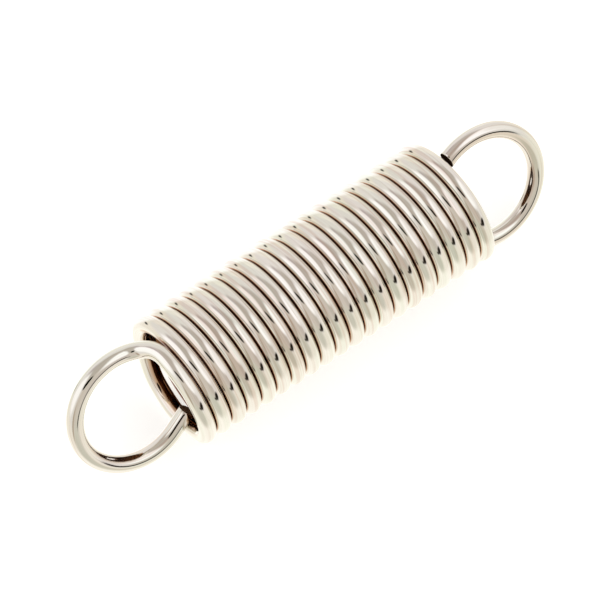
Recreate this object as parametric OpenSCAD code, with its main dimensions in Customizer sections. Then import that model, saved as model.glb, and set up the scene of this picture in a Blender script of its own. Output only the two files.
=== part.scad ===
// Extension spring, close wound from one length of round wire, with a full
// loop eye turned up at each end. Millimetres, +Z up.
// The spring lies along X on z = 0, with its near eye at -X and its far eye at
// +X. It is drawn round its own axis with both eyes in the upright XZ plane,
// then rolled to where it rests. The winding is right handed.

/* [Wire] */
// Diameter of the round wire
wire_d = 2; // [1:0.1:2.2]

/* [Coil] */
// Outside diameter of the coil
coil_od = 16; // [12:0.5:24]
// Whole turns between the two eyes, before the extra half turn that brings them into one plane
whole_turns = 19; // [4:1:40]
// Gap left between neighbouring turns
turn_gap = 0.04; // [0.03:0.01:0.3]

/* [Eyes] */
// Outside diameter of each eye
eye_od = 16; // [12:0.5:20]
// Near eye: from the middle of the first turn to the outermost point of the eye
near_eye_reach = 12.7; // [12.6:0.1:18]
// Far eye: from the middle of the last turn to the outermost point of the eye
far_eye_reach = 12.5; // [11:0.1:18]
// Near eye: how far its middle sits off the spring's axis, towards the bend
near_eye_shift = 0.1; // [0:0.1:1.5]
// Far eye: how far its middle sits off the spring's axis, towards the bend
far_eye_shift = 1.1; // [-0.5:0.1:1.5]

/* [Bends and cut ends] */
// Turn of the coil, in degrees, that the bend into an eye takes up
bend_coil_a = 30; // [15:1:45]
// Turn of the eye, in degrees from its widest point, at which the bend ends
bend_eye_a = 12; // [5:1:30]
// Near eye: turn past its widest point, in degrees, at which its straight end starts
near_end_a = 30; // [10:1:34]
// Near eye: length of its straight end
near_end_len = 2.3; // [0.5:0.1:3]
// Far eye: turn past its widest point, in degrees, at which the wire is cut
far_cut_a = 26; // [10:1:40]

/* [Hidden] */
$fn = 72;

wire_colour = [0.78, 0.76, 0.72];

// How much thicker the wire is in a bend or straight end than where that
// starts, and how far it laps over its neighbours there
hair = 0.05;
lap = 0.2;

coil_r = (coil_od - wire_d) / 2;
eye_r = (eye_od - wire_d) / 2;
pitch = wire_d + turn_gap;
coil_turns = whole_turns + 0.5;
coil_len = coil_turns * pitch;

// The spring rests on its coil and on the wide side of its far eye, if that
// side stands out past the coil
roll_a = 90 - asin(min(1, coil_r / (far_eye_shift + eye_r)));

// The middle of the spring's whole length is at x = 0
first_turn_x = (near_eye_reach - far_eye_reach - coil_len) / 2;
last_turn_x = first_turn_x + coil_len;

// Where the bends leave the coil, in degrees along the winding
coil_start_a = bend_coil_a;
coil_end_a = 360 * coil_turns - bend_coil_a;

function unit(v) = v / norm(v);

// A point on the middle line of the coil's wire. The winding starts upright,
// over the spring's axis, and turns towards -Y as it runs along +X.
function on_coil(a) =
    [first_turn_x + pitch * a / 360, -coil_r * sin(a), coil_r * cos(a)];

// Direction of the coil's wire at the same point, square to the spring's axis
function coil_dir(a) = [0, -cos(a), -sin(a)];

// Direction in which an arc ends that leaves p along t and arrives at q
function end_dir(p, t, q) =
    let (u = unit(q - p))
    2 * (t * u) * u - t;

// The point at which two arcs meet that leave p along s, arrive at q along t
// and run into each other smoothly
function meeting_point(p, s, q, t) =
    let (
        v = q - p,
        k = v * (s + t),
        w = 2 * (1 - s * t),
        d = (sqrt(k * k + w * (v * v)) - k) / w
    )
    (p + q + d * (s - t)) / 2;

// A point on the middle line of an eye's wire, and the wire's direction there.
// side is -1 for the near eye and 1 for the far one; a is 0 at the outermost
// point, 90 at the widest point on the bend's side and -90 on the cut's side.
function on_eye(side, a) =
    let (
        x = side < 0 ? first_turn_x : last_turn_x,
        reach = side < 0 ? near_eye_reach : far_eye_reach,
        shift = side < 0 ? near_eye_shift : far_eye_shift
    )
    [
        x + side * (reach - eye_od / 2 + eye_r * cos(a)),
        0,
        -side * (shift + eye_r * sin(a))
    ];
function eye_dir(side, a) = [-side * sin(a), 0, -side * cos(a)];

// Moves by v in two steps, whole millimetres first, which keeps every digit
module move(v) {
    whole = [for (n = v) round(n)];
    translate(whole)
        translate(v - whole)
            children();
}

// One arc of round wire, from p along t to q. With a step above 0 the wire is
// that many hairs thicker and laps over its neighbours at both ends.
module wire_arc(p, t, q, step = 0) {
    chord = q - p;
    along = chord * t;
    across = chord - along * t;
    x_dir = -unit(across);
    z_dir = cross(x_dir, t);
    r = (chord * chord) / (2 * norm(across));
    turn = 2 * acos(along / norm(chord));
    lap_a = step > 0 ? atan(lap / r) : 0;
    move(p - r * x_dir)
        multmatrix([
            [x_dir.x, t.x, z_dir.x, 0],
            [x_dir.y, t.y, z_dir.y, 0],
            [x_dir.z, t.z, z_dir.z, 0]
        ])
            rotate([0, 0, -lap_a])
                rotate_extrude(angle = turn + 2 * lap_a)
                    move([r, 0])
                        circle(d = wire_d + step * hair);
}

// The bend between an eye and the coil: two arcs that run into each other
module bend(p, s, q, t) {
    m = meeting_point(p, s, q, t);
    wire_arc(p, s, m, 1);
    wire_arc(m, end_dir(p, s, m), q, 2);
}

// The straight end of an eye, which leaves its arc at p along t
module straight_end(p, t, length) {
    x_dir = [0, 1, 0];
    y_dir = cross(t, x_dir);
    move(p - lap * t)
        multmatrix([
            [x_dir.x, y_dir.x, t.x, 0],
            [x_dir.y, y_dir.y, t.y, 0],
            [x_dir.z, y_dir.z, t.z, 0]
        ])
            cylinder(d = wire_d + hair, h = length + lap);
}

// The near eye, from its straight end round to the bend
module near_eye() {
    end_a = -90 - near_end_a;
    bend_a = 90 + bend_eye_a;
    straight_end(on_eye(-1, end_a), -eye_dir(-1, end_a), near_end_len);
    wire_arc(on_eye(-1, end_a), eye_dir(-1, end_a), on_eye(-1, bend_a));
    bend(on_eye(-1, bend_a), eye_dir(-1, bend_a), on_coil(coil_start_a), coil_dir(coil_start_a));
}

// The far eye, from the bend round to its cut end
module far_eye(start, start_dir) {
    cut_a = -90 - far_cut_a;
    bend_a = 90 + bend_eye_a;
    bend(start, start_dir, on_eye(1, bend_a), -eye_dir(1, bend_a));
    wire_arc(on_eye(1, bend_a), -eye_dir(1, bend_a), on_eye(1, cut_a));
}

// The close wound coil: half turns whose ends are square to the spring's
// axis, so that each runs smoothly into the next, and what is left over
module coil() {
    half_turns = floor((coil_end_a - coil_start_a) / 180);
    for (i = [0 : half_turns - 1]) {
        a = coil_start_a + 180 * i;
        wire_arc(on_coil(a), coil_dir(a), on_coil(a + 180));
    }
    last_a = coil_start_a + 180 * half_turns;
    wire_arc(on_coil(last_a), coil_dir(last_a), on_coil(coil_end_a));
    far_eye(on_coil(coil_end_a), end_dir(on_coil(last_a), coil_dir(last_a), on_coil(coil_end_a)));
}

module spring() {
    color(wire_colour)
        translate([0, 0, coil_od / 2])
            rotate([-roll_a, 0, 0])
                union() {
                    near_eye();
                    coil();
                }
}

spring();
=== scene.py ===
"""Visual model of the extension spring, on a pale floor in soft studio light.

The wire is swept along one smooth path: near eye, bend, close wound coil, bend,
far eye. Lengths in the path are in millimetres and its angles in degrees, and
the scene is in metres. The path is drawn with both eyes in the upright XZ plane,
and the finished wire is rolled to where it rests.
"""
import math

import bpy
from mathutils import Matrix, Vector


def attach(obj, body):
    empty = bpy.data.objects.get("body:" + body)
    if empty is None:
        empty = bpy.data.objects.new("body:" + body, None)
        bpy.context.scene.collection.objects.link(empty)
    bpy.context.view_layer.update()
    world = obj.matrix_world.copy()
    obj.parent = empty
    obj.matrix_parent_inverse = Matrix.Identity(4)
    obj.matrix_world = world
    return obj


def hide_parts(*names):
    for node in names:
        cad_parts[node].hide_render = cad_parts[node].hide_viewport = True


MM = 0.001

# Sizes of the spring, as in the part
WIRE_D = 2.0
COIL_OD = 16.0
EYE_OD = 16.0
WHOLE_TURNS = 19
TURN_GAP = 0.04
NEAR_REACH = 12.7
FAR_REACH = 12.5
NEAR_SHIFT = 0.1
FAR_SHIFT = 1.1
BEND_COIL_A = 30.0
BEND_EYE_A = 12.0
NEAR_END_A = 30.0

# The two ends of the wire, which go on a little further than in the part: the
# near one's straight length, and the far one's turn past its eye's widest point
NEAR_END_LEN = 2.75
FAR_CUT_A = 29.0

COIL_R = (COIL_OD - WIRE_D) / 2
EYE_R = (EYE_OD - WIRE_D) / 2
PITCH = WIRE_D + TURN_GAP
COIL_TURNS = WHOLE_TURNS + 0.5
COIL_LEN = COIL_TURNS * PITCH
FIRST_TURN_X = (NEAR_REACH - FAR_REACH - COIL_LEN) / 2
LAST_TURN_X = FIRST_TURN_X + COIL_LEN
ROLL_A = 90 - math.degrees(math.asin(min(1, COIL_R / (FAR_SHIFT + EYE_R))))
COIL_START_A = BEND_COIL_A
COIL_END_A = 360 * COIL_TURNS - BEND_COIL_A

# How far the turns lean towards -X: most at LEAN_A, and not at all from
# LEAN_REACH_A away
LEAN = 0.19
LEAN_A = -25.0
LEAN_REACH_A = 100.0

# How far the first turn stands out towards -X from SPREAD_FROM_A to SPREAD_TO_A,
# and the turn over which that starts and ends
SPREAD = 0.42
SPREAD_FROM_A = 170.0
SPREAD_TO_A = 280.0
SPREAD_SOFT_A = 42.0

# Which way the sheared ends of the wire face, how far their edges are eased, and
# how far in the middle of that rounding lies, as a share
NEAR_FACE = Vector((0.74, -0.14, 0.65))
FAR_FACE = Vector((-0.98, -0.10, -0.16))
EDGE = 0.07
EDGE_MIDDLE = 0.29

# Fineness of the mesh: points round the wire, rings in a turn of the coil and in
# the near eye's straight end
AROUND = 40
PER_TURN = 84
END_RINGS = 4

# How far apart rings lie, and the angles in radians of their points
STEP = 2 * math.pi * COIL_R / PER_TURN
ROUND = [2 * math.pi * k / AROUND for k in range(AROUND)]

# Turn from an end of the winding at which the turn beside the wire starts to
# come near, lies beside it, and touches it
TURN_NEARS_A = 320.0
TURN_BESIDE_A = 360.0
TURN_TOUCHES_A = 380.0

# Turn from the start of the winding, and from the far bend, over which the
# painted shade inside the coil deepens
START_DARK_A = (100.0, 160.0)
END_DARK_A = (90.0, 180.0)

# The wire's materials, by their slots
PLATED = 0
CUT = 1


def sin(a):
    return math.sin(math.radians(a))


def cos(a):
    return math.cos(math.radians(a))


def share(x, start, full):
    """0 up to start, 1 from full on, and in proportion between them."""
    return min(1, max(0, (x - start) / (full - start)))


def ease(x):
    x = share(x, 0, 1)
    return x * x * (3 - 2 * x)


# The path of the wire


def on_coil(a):
    """A point on the middle line of the coil's wire. The winding starts over the
    spring's axis and turns towards -Y as it runs along +X."""
    away = (a - LEAN_A + 180) % 360 - 180
    lean = LEAN * max(0, cos(90 * away / LEAN_REACH_A)) ** 2
    spread = SPREAD * ease((a - SPREAD_FROM_A) / SPREAD_SOFT_A)
    spread *= ease((SPREAD_TO_A - a) / SPREAD_SOFT_A)
    x = FIRST_TURN_X + PITCH * a / 360 - lean - spread
    return Vector((x, -COIL_R * sin(a), COIL_R * cos(a)))


def coil_dir(a):
    """The wire's direction there, from the points half a degree either side."""
    return (on_coil(a + 0.5) - on_coil(a - 0.5)).normalized()


def on_eye(side, a):
    """A point on the middle line of an eye's wire. side is -1 for the near eye
    and 1 for the far one; a is 0 at the outermost point, 90 at the widest point
    on the bend's side and -90 on the cut's side."""
    if side < 0:
        x, reach, shift = FIRST_TURN_X, NEAR_REACH, NEAR_SHIFT
    else:
        x, reach, shift = LAST_TURN_X, FAR_REACH, FAR_SHIFT
    middle = x + side * (reach - EYE_OD / 2)
    return Vector((middle + side * EYE_R * cos(a), 0, -side * (shift + EYE_R * sin(a))))


def eye_dir(side, a):
    return Vector((-side * sin(a), 0, -side * cos(a)))


def meeting_point(p, s, q, t):
    """Where two arcs meet that leave p along s, arrive at q along t and run into
    each other smoothly."""
    v = q - p
    k = v.dot(s + t)
    w = 2 * (1 - s.dot(t))
    d = (math.sqrt(k * k + w * v.dot(v)) - k) / w
    return (p + q + d * (s - t)) / 2


def arc(p, t, q):
    """Points and directions along the arc that leaves p along t and ends at q."""
    chord = q - p
    along = chord.dot(t)
    across = chord - along * t
    x_dir = -across.normalized()
    r = chord.dot(chord) / (2 * across.length)
    turn = 2 * math.acos(along / chord.length)
    steps = max(3, round(turn * r / STEP))
    path = []
    for i in range(steps + 1):
        a = turn * i / steps
        point = p + r * (math.cos(a) - 1) * x_dir + r * math.sin(a) * t
        path.append((point, math.cos(a) * t - math.sin(a) * x_dir))
    return path


def bend(p, s, q, t):
    """Two arcs that run into each other, from p along s to q along t."""
    m = meeting_point(p, s, q, t)
    first = arc(p, s, m)
    return first + arc(m, first[-1][1], q)[1:]


def wire_path():
    """Points and directions along the near eye and its bend, along the coil, with
    the angle there too, and along the far bend and its eye."""
    bend_a = 90 + BEND_EYE_A
    end_a = -90 - NEAR_END_A
    cut_a = -90 - FAR_CUT_A
    start, ahead = on_eye(-1, end_a), eye_dir(-1, end_a)
    near = [
        (start - ahead * NEAR_END_LEN * i / END_RINGS, ahead)
        for i in range(END_RINGS, 0, -1)
    ]
    near += arc(start, ahead, on_eye(-1, bend_a))
    near += bend(*near[-1], on_coil(COIL_START_A), coil_dir(COIL_START_A))[1:]
    wound_a = COIL_END_A - COIL_START_A
    steps = round(wound_a * PER_TURN / 360)
    angles = [COIL_START_A + wound_a * i / steps for i in range(steps + 1)]
    coil = [(on_coil(a), coil_dir(a), a) for a in angles]
    far = bend(*coil[-1][:2], on_eye(1, bend_a), -eye_dir(1, bend_a))
    far += arc(*far[-1], on_eye(1, cut_a))[1:]
    return near, coil, far


# The wire's surface


def square_to(v, t):
    """The direction of what is left of v square to t."""
    return (v - v.dot(t) * t).normalized()


def mirrored(vector, v):
    """vector mirrored in the plane square to v."""
    return vector - 2 * v.dot(vector) / v.dot(v) * v


def carried(side, path):
    """Side directions carried along a path from a first one without twisting."""
    sides = [side]
    for (p, t), (q, u) in zip(path, path[1:]):
        step = q - p
        turned = mirrored(mirrored(sides[-1], step), u - mirrored(t, step))
        sides.append(square_to(turned, u))
    return sides


def next_turn(a):
    """Whether a turn lies beside the wire, a degrees from the winding's end on
    that side: 0 for none, 0.5 for one beside it and 1 for one that touches it."""
    beside = share(a, TURN_NEARS_A, TURN_BESIDE_A)
    touches = share(a, TURN_BESIDE_A, TURN_TOUCHES_A)
    return (beside + touches) / 2


def wire_sections():
    """Cross sections of the wire: middle, direction and outward side, and how far,
    from 0 to 1, a turn lies beside it towards -X and towards +X, and how deep the
    painted shade inside the coil is there."""
    near, coil, far = wire_path()
    outward = [square_to(Vector((0, p.y, p.z)), t) for p, t, a in coil]
    near_side = carried(outward[0], near[::-1])[::-1]
    far_side = carried(outward[-1], far)
    free = (0, 0, 0)
    sections = [(p, t, side, free) for (p, t), side in zip(near[:-1], near_side)]
    for (p, t, a), side in zip(coil, outward):
        # How deep the painted shade inside the coil is: none near the open ends
        dark = min(share(a, *START_DARK_A), share(COIL_END_A - a, *END_DARK_A))
        beside = (next_turn(a), next_turn(360 * COIL_TURNS - a), dark)
        sections.append((p, t, side, beside))
    sections += [(p, t, side, free) for (p, t), side in zip(far[1:], far_side[1:])]
    return sections


def ring(middle, t, side, radius):
    """Points round the wire, from its outward side on."""
    other = t.cross(side)
    return [middle + radius * (math.cos(a) * side + math.sin(a) * other) for a in ROUND]


def cut_end(p, t, side, way, face):
    """Rings of a sheared end, in order along the wire: the wire's own, the middle
    of the eased edge and the edge of the cut face, or the other way round. way is
    1 for the last end and -1 for the first, and face is where the cut faces."""
    slant = way * t - face / face.dot(way * t)
    rings = []
    for inset, narrower in ((0, EDGE), (EDGE * EDGE_MIDDLE, EDGE * EDGE_MIDDLE), (EDGE, 0)):
        square = ring(p - inset * way * t, t, side, WIRE_D / 2 - narrower)
        rings.append([q + (q - p).dot(slant) * way * t for q in square])
    return rings[::-way]


def wire_surface():
    """Points of all rings in order. For each point also its place on the wire,
    outwards, across and along it, what lies beside the wire there, and how deep the
    painted shade inside the coil is."""
    sections = wire_sections()
    last = len(sections) - 1
    points, places, turns = [], [], []
    along = 0.0
    previous = sections[0][0]
    for i, (p, t, side, beside) in enumerate(sections):
        along += (p - previous).length
        previous = p
        if i == 0:
            rings = cut_end(p, t, side, -1, NEAR_FACE)
        elif i == last:
            rings = cut_end(p, t, side, 1, FAR_FACE)
        else:
            rings = [ring(p, t, side, WIRE_D / 2)]
        for one in rings:
            points += one
            places += [(math.cos(a), math.sin(a), along) for a in ROUND]
            turns += [beside] * AROUND
    return points, places, turns


def wire_faces(rings):
    """Faces between neighbouring rings and over both ends, and their materials."""
    faces, materials = [], []
    for j in range(rings - 1):
        a, b = j * AROUND, (j + 1) * AROUND
        for k in range(AROUND):
            following = (k + 1) % AROUND
            faces.append((a + k, a + following, b + following, b + k))
            materials.append(CUT if j in (0, rings - 2) else PLATED)
    end = (rings - 1) * AROUND
    faces.append(tuple(range(AROUND))[::-1])
    faces.append(tuple(range(end, end + AROUND)))
    return faces, materials + [CUT, CUT]


def make_wire():
    """The wire as one closed tube, rolled to where it rests."""
    points, places, turns = wire_surface()
    faces, materials = wire_faces(len(points) // AROUND)
    roll = Matrix.Rotation(math.radians(-ROLL_A), 4, "X")
    rest = Matrix.Translation((0, 0, COIL_OD / 2)) @ roll
    mesh = bpy.data.meshes.new("wire")
    mesh.from_pydata([(rest @ v) * MM for v in points], [], faces)
    for name, values in (("wire", places), ("turns", turns)):
        layer = mesh.attributes.new(name, "FLOAT_VECTOR", "POINT")
        layer.data.foreach_set("vector", [c for v in values for c in v])
    mesh.polygons.foreach_set("material_index", materials)
    mesh.polygons.foreach_set("use_smooth", [m == PLATED for m in materials])
    obj = bpy.data.objects.new("spring_wire", mesh)
    bpy.context.scene.collection.objects.link(obj)
    return obj


# Materials

# The nickel plate's two tints, the streaks and drawn lines on it, and painted shade
# inside the coil and in the grooves between turns, brown like nickel reflecting
# itself
WARM_NICKEL = (0.80, 0.765, 0.72)
COOL_NICKEL = (0.77, 0.77, 0.70)
DULL_STREAK = (0.70, 0.60, 0.53)
PALE_STREAK = (0.88, 0.86, 0.82)
DRAWN_LINE = (0.60, 0.51, 0.43)
# Painted shade inside the coil, from faint to deep
PAINTED_SHADE_FAINT = (0.72, 0.55, 0.41)
PAINTED_SHADE_BROWN = (0.45, 0.27, 0.15)
PAINTED_SHADE_DEEP = (0.17, 0.075, 0.03)
# Painted shade in the grooves between touching turns, on the side and at the bottom
GROOVE_SIDE_SHADE = (0.62, 0.42, 0.29)
GROOVE_BOTTOM_SHADE = (0.15, 0.03, 0.01)

# How closely drawn lines, streaks and tints follow each other, per wire radius
# outwards and across and per millimetre along, and the depth of the relief
LINE_SCALE = (9.0, 9.0, 0.12)
STREAK_SCALE = (2.6, 2.6, 0.05)
TINT_SCALE = (0.9, 0.9, 0.09)
LINE_DEPTH = 0.008

# The cut ends: rust on the near one and scale on the far one, how closely the
# shear lines follow each other, per metre, and the depth of the relief
DARK_RUST = (0.06, 0.034, 0.018)
PALE_RUST = (0.48, 0.29, 0.17)
DARK_SCALE = (0.005, 0.002, 0.001)
PALE_SCALE = (0.06, 0.03, 0.017)
SHEAR_SCALE = (900, 2600, 900)
SHEAR_DEPTH = 0.03

WHITE = (1, 1, 1)
FLOOR_COLOUR = (0.8, 0.8, 0.79)
FLOOR_GLOW = 0.55


class Nodes:
    """Short calls for building a node tree."""

    def __init__(self, tree):
        self.tree = tree
        tree.nodes.clear()

    def put(self, socket, value):
        if isinstance(value, bpy.types.NodeSocket):
            self.tree.links.new(value, socket)
        elif socket.type == "RGBA":
            socket.default_value = (*value, 1)
        else:
            socket.default_value = value

    def add(self, kind, **inputs):
        """A node with some of its inputs, by name."""
        node = self.tree.nodes.new(kind)
        for name, value in inputs.items():
            self.put(node.inputs[name.replace("_", " ")], value)
        return node

    def fill(self, kind, *values, **settings):
        """A node with its settings and its first inputs, in their order."""
        node = self.tree.nodes.new(kind)
        for name, value in settings.items():
            setattr(node, name, value)
        for socket, value in zip(node.inputs, values):
            self.put(socket, value)
        return node

    def math(self, operation, *values):
        return self.fill("ShaderNodeMath", *values, operation=operation).outputs[0]

    def dot(self, *values):
        node = self.fill("ShaderNodeVectorMath", *values, operation="DOT_PRODUCT")
        return node.outputs["Value"]

    def attribute(self, name):
        return self.fill("ShaderNodeAttribute", attribute_name=name).outputs["Vector"]

    def split(self, vector):
        return tuple(self.fill("ShaderNodeSeparateXYZ", vector).outputs)

    def ramp(self, value, low, high, to_low=0.0, to_high=1.0):
        values = (value, low, high, to_low, to_high)
        soft = "SMOOTHERSTEP"
        return self.fill("ShaderNodeMapRange", *values, interpolation_type=soft).outputs[0]

    def mix(self, factor, a, b):
        """Two colours, whose sockets come after those for numbers and vectors."""
        node = self.fill("ShaderNodeMix", factor, data_type="RGBA")
        self.put(node.inputs[6], a)
        self.put(node.inputs[7], b)
        return node.outputs[2]

    def noise(self, vector, scale, detail):
        scaled = self.fill("ShaderNodeVectorMath", vector, scale, operation="MULTIPLY")
        node = self.add(
            "ShaderNodeTexNoise", Vector=scaled.outputs[0], Scale=1.0, Detail=detail
        )
        return node.outputs["Fac"]

    def surface(self, relief, depth, strength, **inputs):
        """The material's surface, with relief that is depth millimetres deep."""
        bump = self.add(
            "ShaderNodeBump", Strength=strength, Distance=depth * MM, Height=relief
        )
        shader = self.add("ShaderNodeBsdfPrincipled", Normal=bump.outputs[0], **inputs)
        self.add("ShaderNodeOutputMaterial", Surface=shader.outputs[0])


def material(name):
    mat = bpy.data.materials.new(name)
    mat.use_nodes = True
    return mat, Nodes(mat.node_tree)


def nickel_wire():
    """Bright nickel plate over drawn wire: fine lines along it, a faint change
    of tint, and painted shade inside the coil and down in the grooves, brown like
    nickel reflecting itself."""
    mat, n = material("bright nickel wire")
    place = n.attribute("wire")
    lines = n.noise(place, LINE_SCALE, 3.0)
    streaks = n.noise(place, STREAK_SCALE, 1.0)
    tint = n.noise(place, TINT_SCALE, 1.0)
    outward, across = n.split(place)[:2]
    before, after, dark = n.split(n.attribute("turns"))

    def towards_turns(start, full):
        """1 where the surface faces a turn that touches it, 0 elsewhere."""
        far = n.math("MULTIPLY", n.ramp(across, -start, -full), n.ramp(after, 0.5, 1.0))
        near = n.math("MULTIPLY", n.ramp(across, start, full), n.ramp(before, 0.5, 1.0))
        return n.math("MAXIMUM", far, near)

    # 1 where, for each side, the surface faces away from it or has a turn there; the
    # painted shade inside the coil goes only there
    covered = n.math(
        "MINIMUM",
        n.math("MAXIMUM", n.ramp(across, 0.9, -0.6), n.ramp(before, 0.0, 0.5)),
        n.math("MAXIMUM", n.ramp(across, -0.9, 0.6), n.ramp(after, 0.0, 0.5)),
    )
    # Painted shade inside the coil: on its inward side, between turns, deeper in
    coil_shade = n.math("MULTIPLY", n.ramp(outward, 0.15, -0.35), covered)
    coil_shade = n.math("MULTIPLY", coil_shade, dark)

    colour = n.mix(n.ramp(tint, 0.35, 0.65), WARM_NICKEL, COOL_NICKEL)
    for amount, layer in (
        (n.ramp(streaks, 0.50, 0.72, 0.0, 0.7), DULL_STREAK),
        (n.ramp(streaks, 0.48, 0.25, 0.0, 0.5), PALE_STREAK),
        (n.ramp(lines, 0.55, 0.75, 0.0, 0.3), DRAWN_LINE),
        # Painted shade inside the coil
        (n.ramp(coil_shade, 0.0, 0.3), PAINTED_SHADE_FAINT),
        (n.ramp(coil_shade, 0.2, 0.65), PAINTED_SHADE_BROWN),
        (n.ramp(coil_shade, 0.65, 1.0), PAINTED_SHADE_DEEP),
        # Painted shade in the grooves between touching turns
        (towards_turns(0.86, 0.96), GROOVE_SIDE_SHADE),
        (towards_turns(0.93, 0.985), GROOVE_BOTTOM_SHADE),
    ):
        colour = n.mix(amount, colour, layer)

    relief = n.math("ADD", n.math("MULTIPLY", lines, 0.3), streaks)
    rough = n.ramp(lines, 0.3, 0.7, 0.03, 0.085)
    n.surface(relief, LINE_DEPTH, 1.0, Base_Color=colour, Metallic=1.0, Roughness=rough)
    return mat


def cut_face():
    """The sheared ends of the wire, dull, with coarse shear lines: rusty at the
    near end, and dark with scale at the far one."""
    mat, n = material("sheared wire end")
    place = n.add("ShaderNodeTexCoord").outputs["Object"]
    grain = n.noise(place, SHEAR_SCALE, 4.0)
    rust = n.mix(grain, DARK_RUST, PALE_RUST)
    scale = n.mix(grain, DARK_SCALE, PALE_SCALE)
    far = n.ramp(n.split(place)[0], -5 * MM, 5 * MM)
    n.surface(
        grain,
        SHEAR_DEPTH,
        0.5,
        Base_Color=n.mix(far, rust, scale),
        Metallic=0.0,
        Roughness=0.6,
        Specular_IOR_Level=0.0,
    )
    return mat


def pale_floor():
    """White for the camera and in mirrors, with the object's shadow kept."""
    mat, n = material("pale floor")
    path = n.add("ShaderNodeLightPath").outputs
    mirrored_ray = n.math("MAXIMUM", path["Is Glossy Ray"], path["Is Transmission Ray"])
    seen = n.math("MAXIMUM", path["Is Camera Ray"], mirrored_ray)
    glow = n.math("MULTIPLY", seen, FLOOR_GLOW)
    lit = n.add("ShaderNodeBsdfDiffuse", Color=FLOOR_COLOUR)
    glowing = n.add("ShaderNodeEmission", Color=WHITE, Strength=glow)
    both = n.fill("ShaderNodeAddShader", lit.outputs[0], glowing.outputs[0])
    n.add("ShaderNodeOutputMaterial", Surface=both.outputs[0])
    return mat


# Surroundings

# What the wire reflects, from straight above down to straight below
CEILING = (0.59, 0.53, 0.48)
WALL = (0.92, 0.88, 0.85)
LOW_WALL = (1.02, 0.97, 0.86)
GROUND = (1.19, 1.16, 1.06)


def facing(azimuth, elevation):
    """Direction at an angle from +Y towards +X, and an elevation."""
    flat = cos(elevation)
    return Vector((sin(azimuth) * flat, cos(azimuth) * flat, sin(elevation)))


def studio_world():
    """A pale room with dim parts, soft boxes and small dark things, which the
    wire reflects. The camera sees plain white instead."""
    world = bpy.data.worlds.new("studio")
    bpy.context.scene.world = world
    world.use_nodes = True
    n = Nodes(world.node_tree)
    ray = n.add("ShaderNodeTexCoord").outputs["Generated"]
    height = n.dot(ray, (0, 0, 1))
    upper = n.mix(n.ramp(height, 0.66, 0.93), WALL, CEILING)
    lower = n.mix(n.ramp(height, -0.45, -0.8), LOW_WALL, GROUND)
    colour = n.mix(n.ramp(height, -0.25, 0.15), lower, upper)

    def patch(azimuth, elevation, wide, high, soft, tone):
        """An oval of the surroundings, with half sizes as tangents of angles."""
        nonlocal colour
        towards = facing(azimuth, elevation)
        right = Vector((cos(azimuth), -sin(azimuth), 0))
        up = right.cross(towards)
        # Kept above 0, so that the oval has no twin behind
        ahead = n.math("MAXIMUM", n.dot(ray, towards), 0.001)
        x = n.math("DIVIDE", n.dot(ray, right), n.math("MULTIPLY", ahead, wide))
        y = n.math("DIVIDE", n.dot(ray, up), n.math("MULTIPLY", ahead, high))
        squares = n.math("ADD", n.math("MULTIPLY", x, x), n.math("MULTIPLY", y, y))
        inside = n.ramp(n.math("SQRT", squares), 1 + soft, 1 - soft)
        colour = n.mix(inside, colour, tone)

    # Dim parts of the room
    patch(-158, 30, 0.75, 0.60, 0.5, (0.74, 0.67, 0.60))
    patch(170, 22, 0.32, 0.28, 0.5, (0.66, 0.60, 0.54))
    patch(-155, -15, 0.55, 0.42, 0.6, (0.71, 0.70, 0.60))
    patch(-122, 6, 0.13, 0.40, 0.7, (0.52, 0.43, 0.34))
    patch(-33, 50, 0.30, 0.22, 0.7, (0.58, 0.51, 0.50))

    # Soft boxes and paler parts
    patch(25, 6, 0.35, 0.18, 0.7, (1.04, 1.00, 0.91))
    patch(-70, 32, 0.48, 0.62, 0.45, (1.24, 1.21, 1.22))
    patch(130, 50, 0.60, 0.45, 0.40, (1.26, 1.25, 1.26))
    patch(110, 30, 0.40, 0.35, 0.60, (1.05, 1.02, 0.99))
    patch(8, -33, 0.44, 0.45, 0.45, (1.28, 1.28, 1.28))

    # Small dark things, which leave dark marks on the wire
    patch(162, 5.5, 0.32, 0.115, 0.40, (0.02, 0.015, 0.01))
    patch(-176, 3.5, 0.16, 0.05, 0.60, (0.05, 0.045, 0.035))
    patch(-132, 57, 0.25, 0.148, 0.20, (0.004, 0.003, 0.002))
    patch(-23.5, -16.5, 0.11, 0.075, 0.6, (0.05, 0.045, 0.04))

    camera = n.add("ShaderNodeLightPath").outputs["Is Camera Ray"]
    room = n.add("ShaderNodeBackground", Color=colour, Strength=1.0)
    white = n.add("ShaderNodeBackground", Color=WHITE, Strength=1.0)
    seen = n.fill("ShaderNodeMixShader", camera, room.outputs[0], white.outputs[0])
    n.add("ShaderNodeOutputWorld", Surface=seen.outputs[0])


def make_floor():
    """A wide floor. The wire reflects the surroundings' lower half in its place."""
    half = 3.0
    mesh = bpy.data.meshes.new("floor")
    corners = [(-half, -half, 0), (half, -half, 0), (half, half, 0), (-half, half, 0)]
    mesh.from_pydata(corners, [], [(0, 1, 2, 3)])
    floor = bpy.data.objects.new("floor", mesh)
    bpy.context.scene.collection.objects.link(floor)
    floor.data.materials.append(pale_floor())
    floor.visible_glossy = False


# Camera

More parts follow.
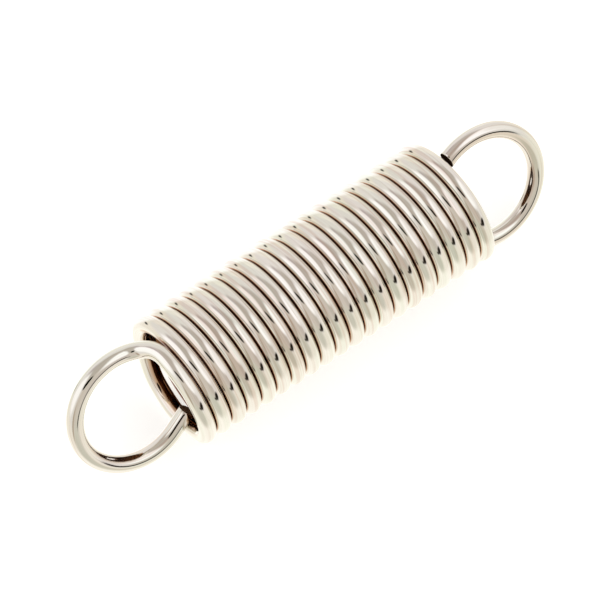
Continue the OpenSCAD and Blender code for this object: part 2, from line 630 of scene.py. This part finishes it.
# The viewing angle, from -Y towards +X and up, and the distance, as fitted to
# the spring's outline in the photograph
CAMERA_AZ = -36.1
CAMERA_EL = 63.6
CAMERA_AWAY = 430.0
SENSOR_W = 36.0

# In pixels of the photograph: its width, the focal length, a millimetre at the
# spring, and the place of the spring's middle
PHOTO_W = 600
FOCAL = 3816.0
PER_MM = 8.875
MIDDLE_X = 309.4
MIDDLE_Y = 291.8


def photo_camera():
    """The photograph's camera, moved aside so that the frame matches as well."""
    flat = cos(CAMERA_EL)
    back = Vector((sin(CAMERA_AZ) * flat, -cos(CAMERA_AZ) * flat, sin(CAMERA_EL)))
    right = Vector((cos(CAMERA_AZ), sin(CAMERA_AZ), 0))
    up = back.cross(right)
    aside = right * ((MIDDLE_X - PHOTO_W / 2) / PER_MM)
    above = up * ((PHOTO_W / 2 - MIDDLE_Y) / PER_MM)
    where = Vector((0, 0, COIL_OD / 2)) + back * CAMERA_AWAY - aside - above
    turn = Matrix((right, up, back)).transposed().to_4x4()
    data = bpy.data.cameras.new("camera")
    data.sensor_width = SENSOR_W
    data.lens = FOCAL * SENSOR_W / PHOTO_W
    data.clip_start = 0.01
    data.clip_end = 20.0
    camera = bpy.data.objects.new("camera", data)
    bpy.context.scene.collection.objects.link(camera)
    camera.matrix_world = Matrix.Translation(where * MM) @ turn
    bpy.context.scene.camera = camera


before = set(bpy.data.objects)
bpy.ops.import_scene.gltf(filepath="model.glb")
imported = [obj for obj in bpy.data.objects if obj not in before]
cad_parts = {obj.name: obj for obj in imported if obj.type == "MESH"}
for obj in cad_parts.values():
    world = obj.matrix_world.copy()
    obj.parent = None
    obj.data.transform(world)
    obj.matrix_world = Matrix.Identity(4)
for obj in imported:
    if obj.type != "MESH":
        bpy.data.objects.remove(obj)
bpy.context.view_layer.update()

bpy.context.scene.view_settings.view_transform = "Standard"

wire = make_wire()
wire.data.materials.append(nickel_wire())
wire.data.materials.append(cut_face())
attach(wire, "root")
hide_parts("spring")

make_floor()
studio_world()
photo_camera()
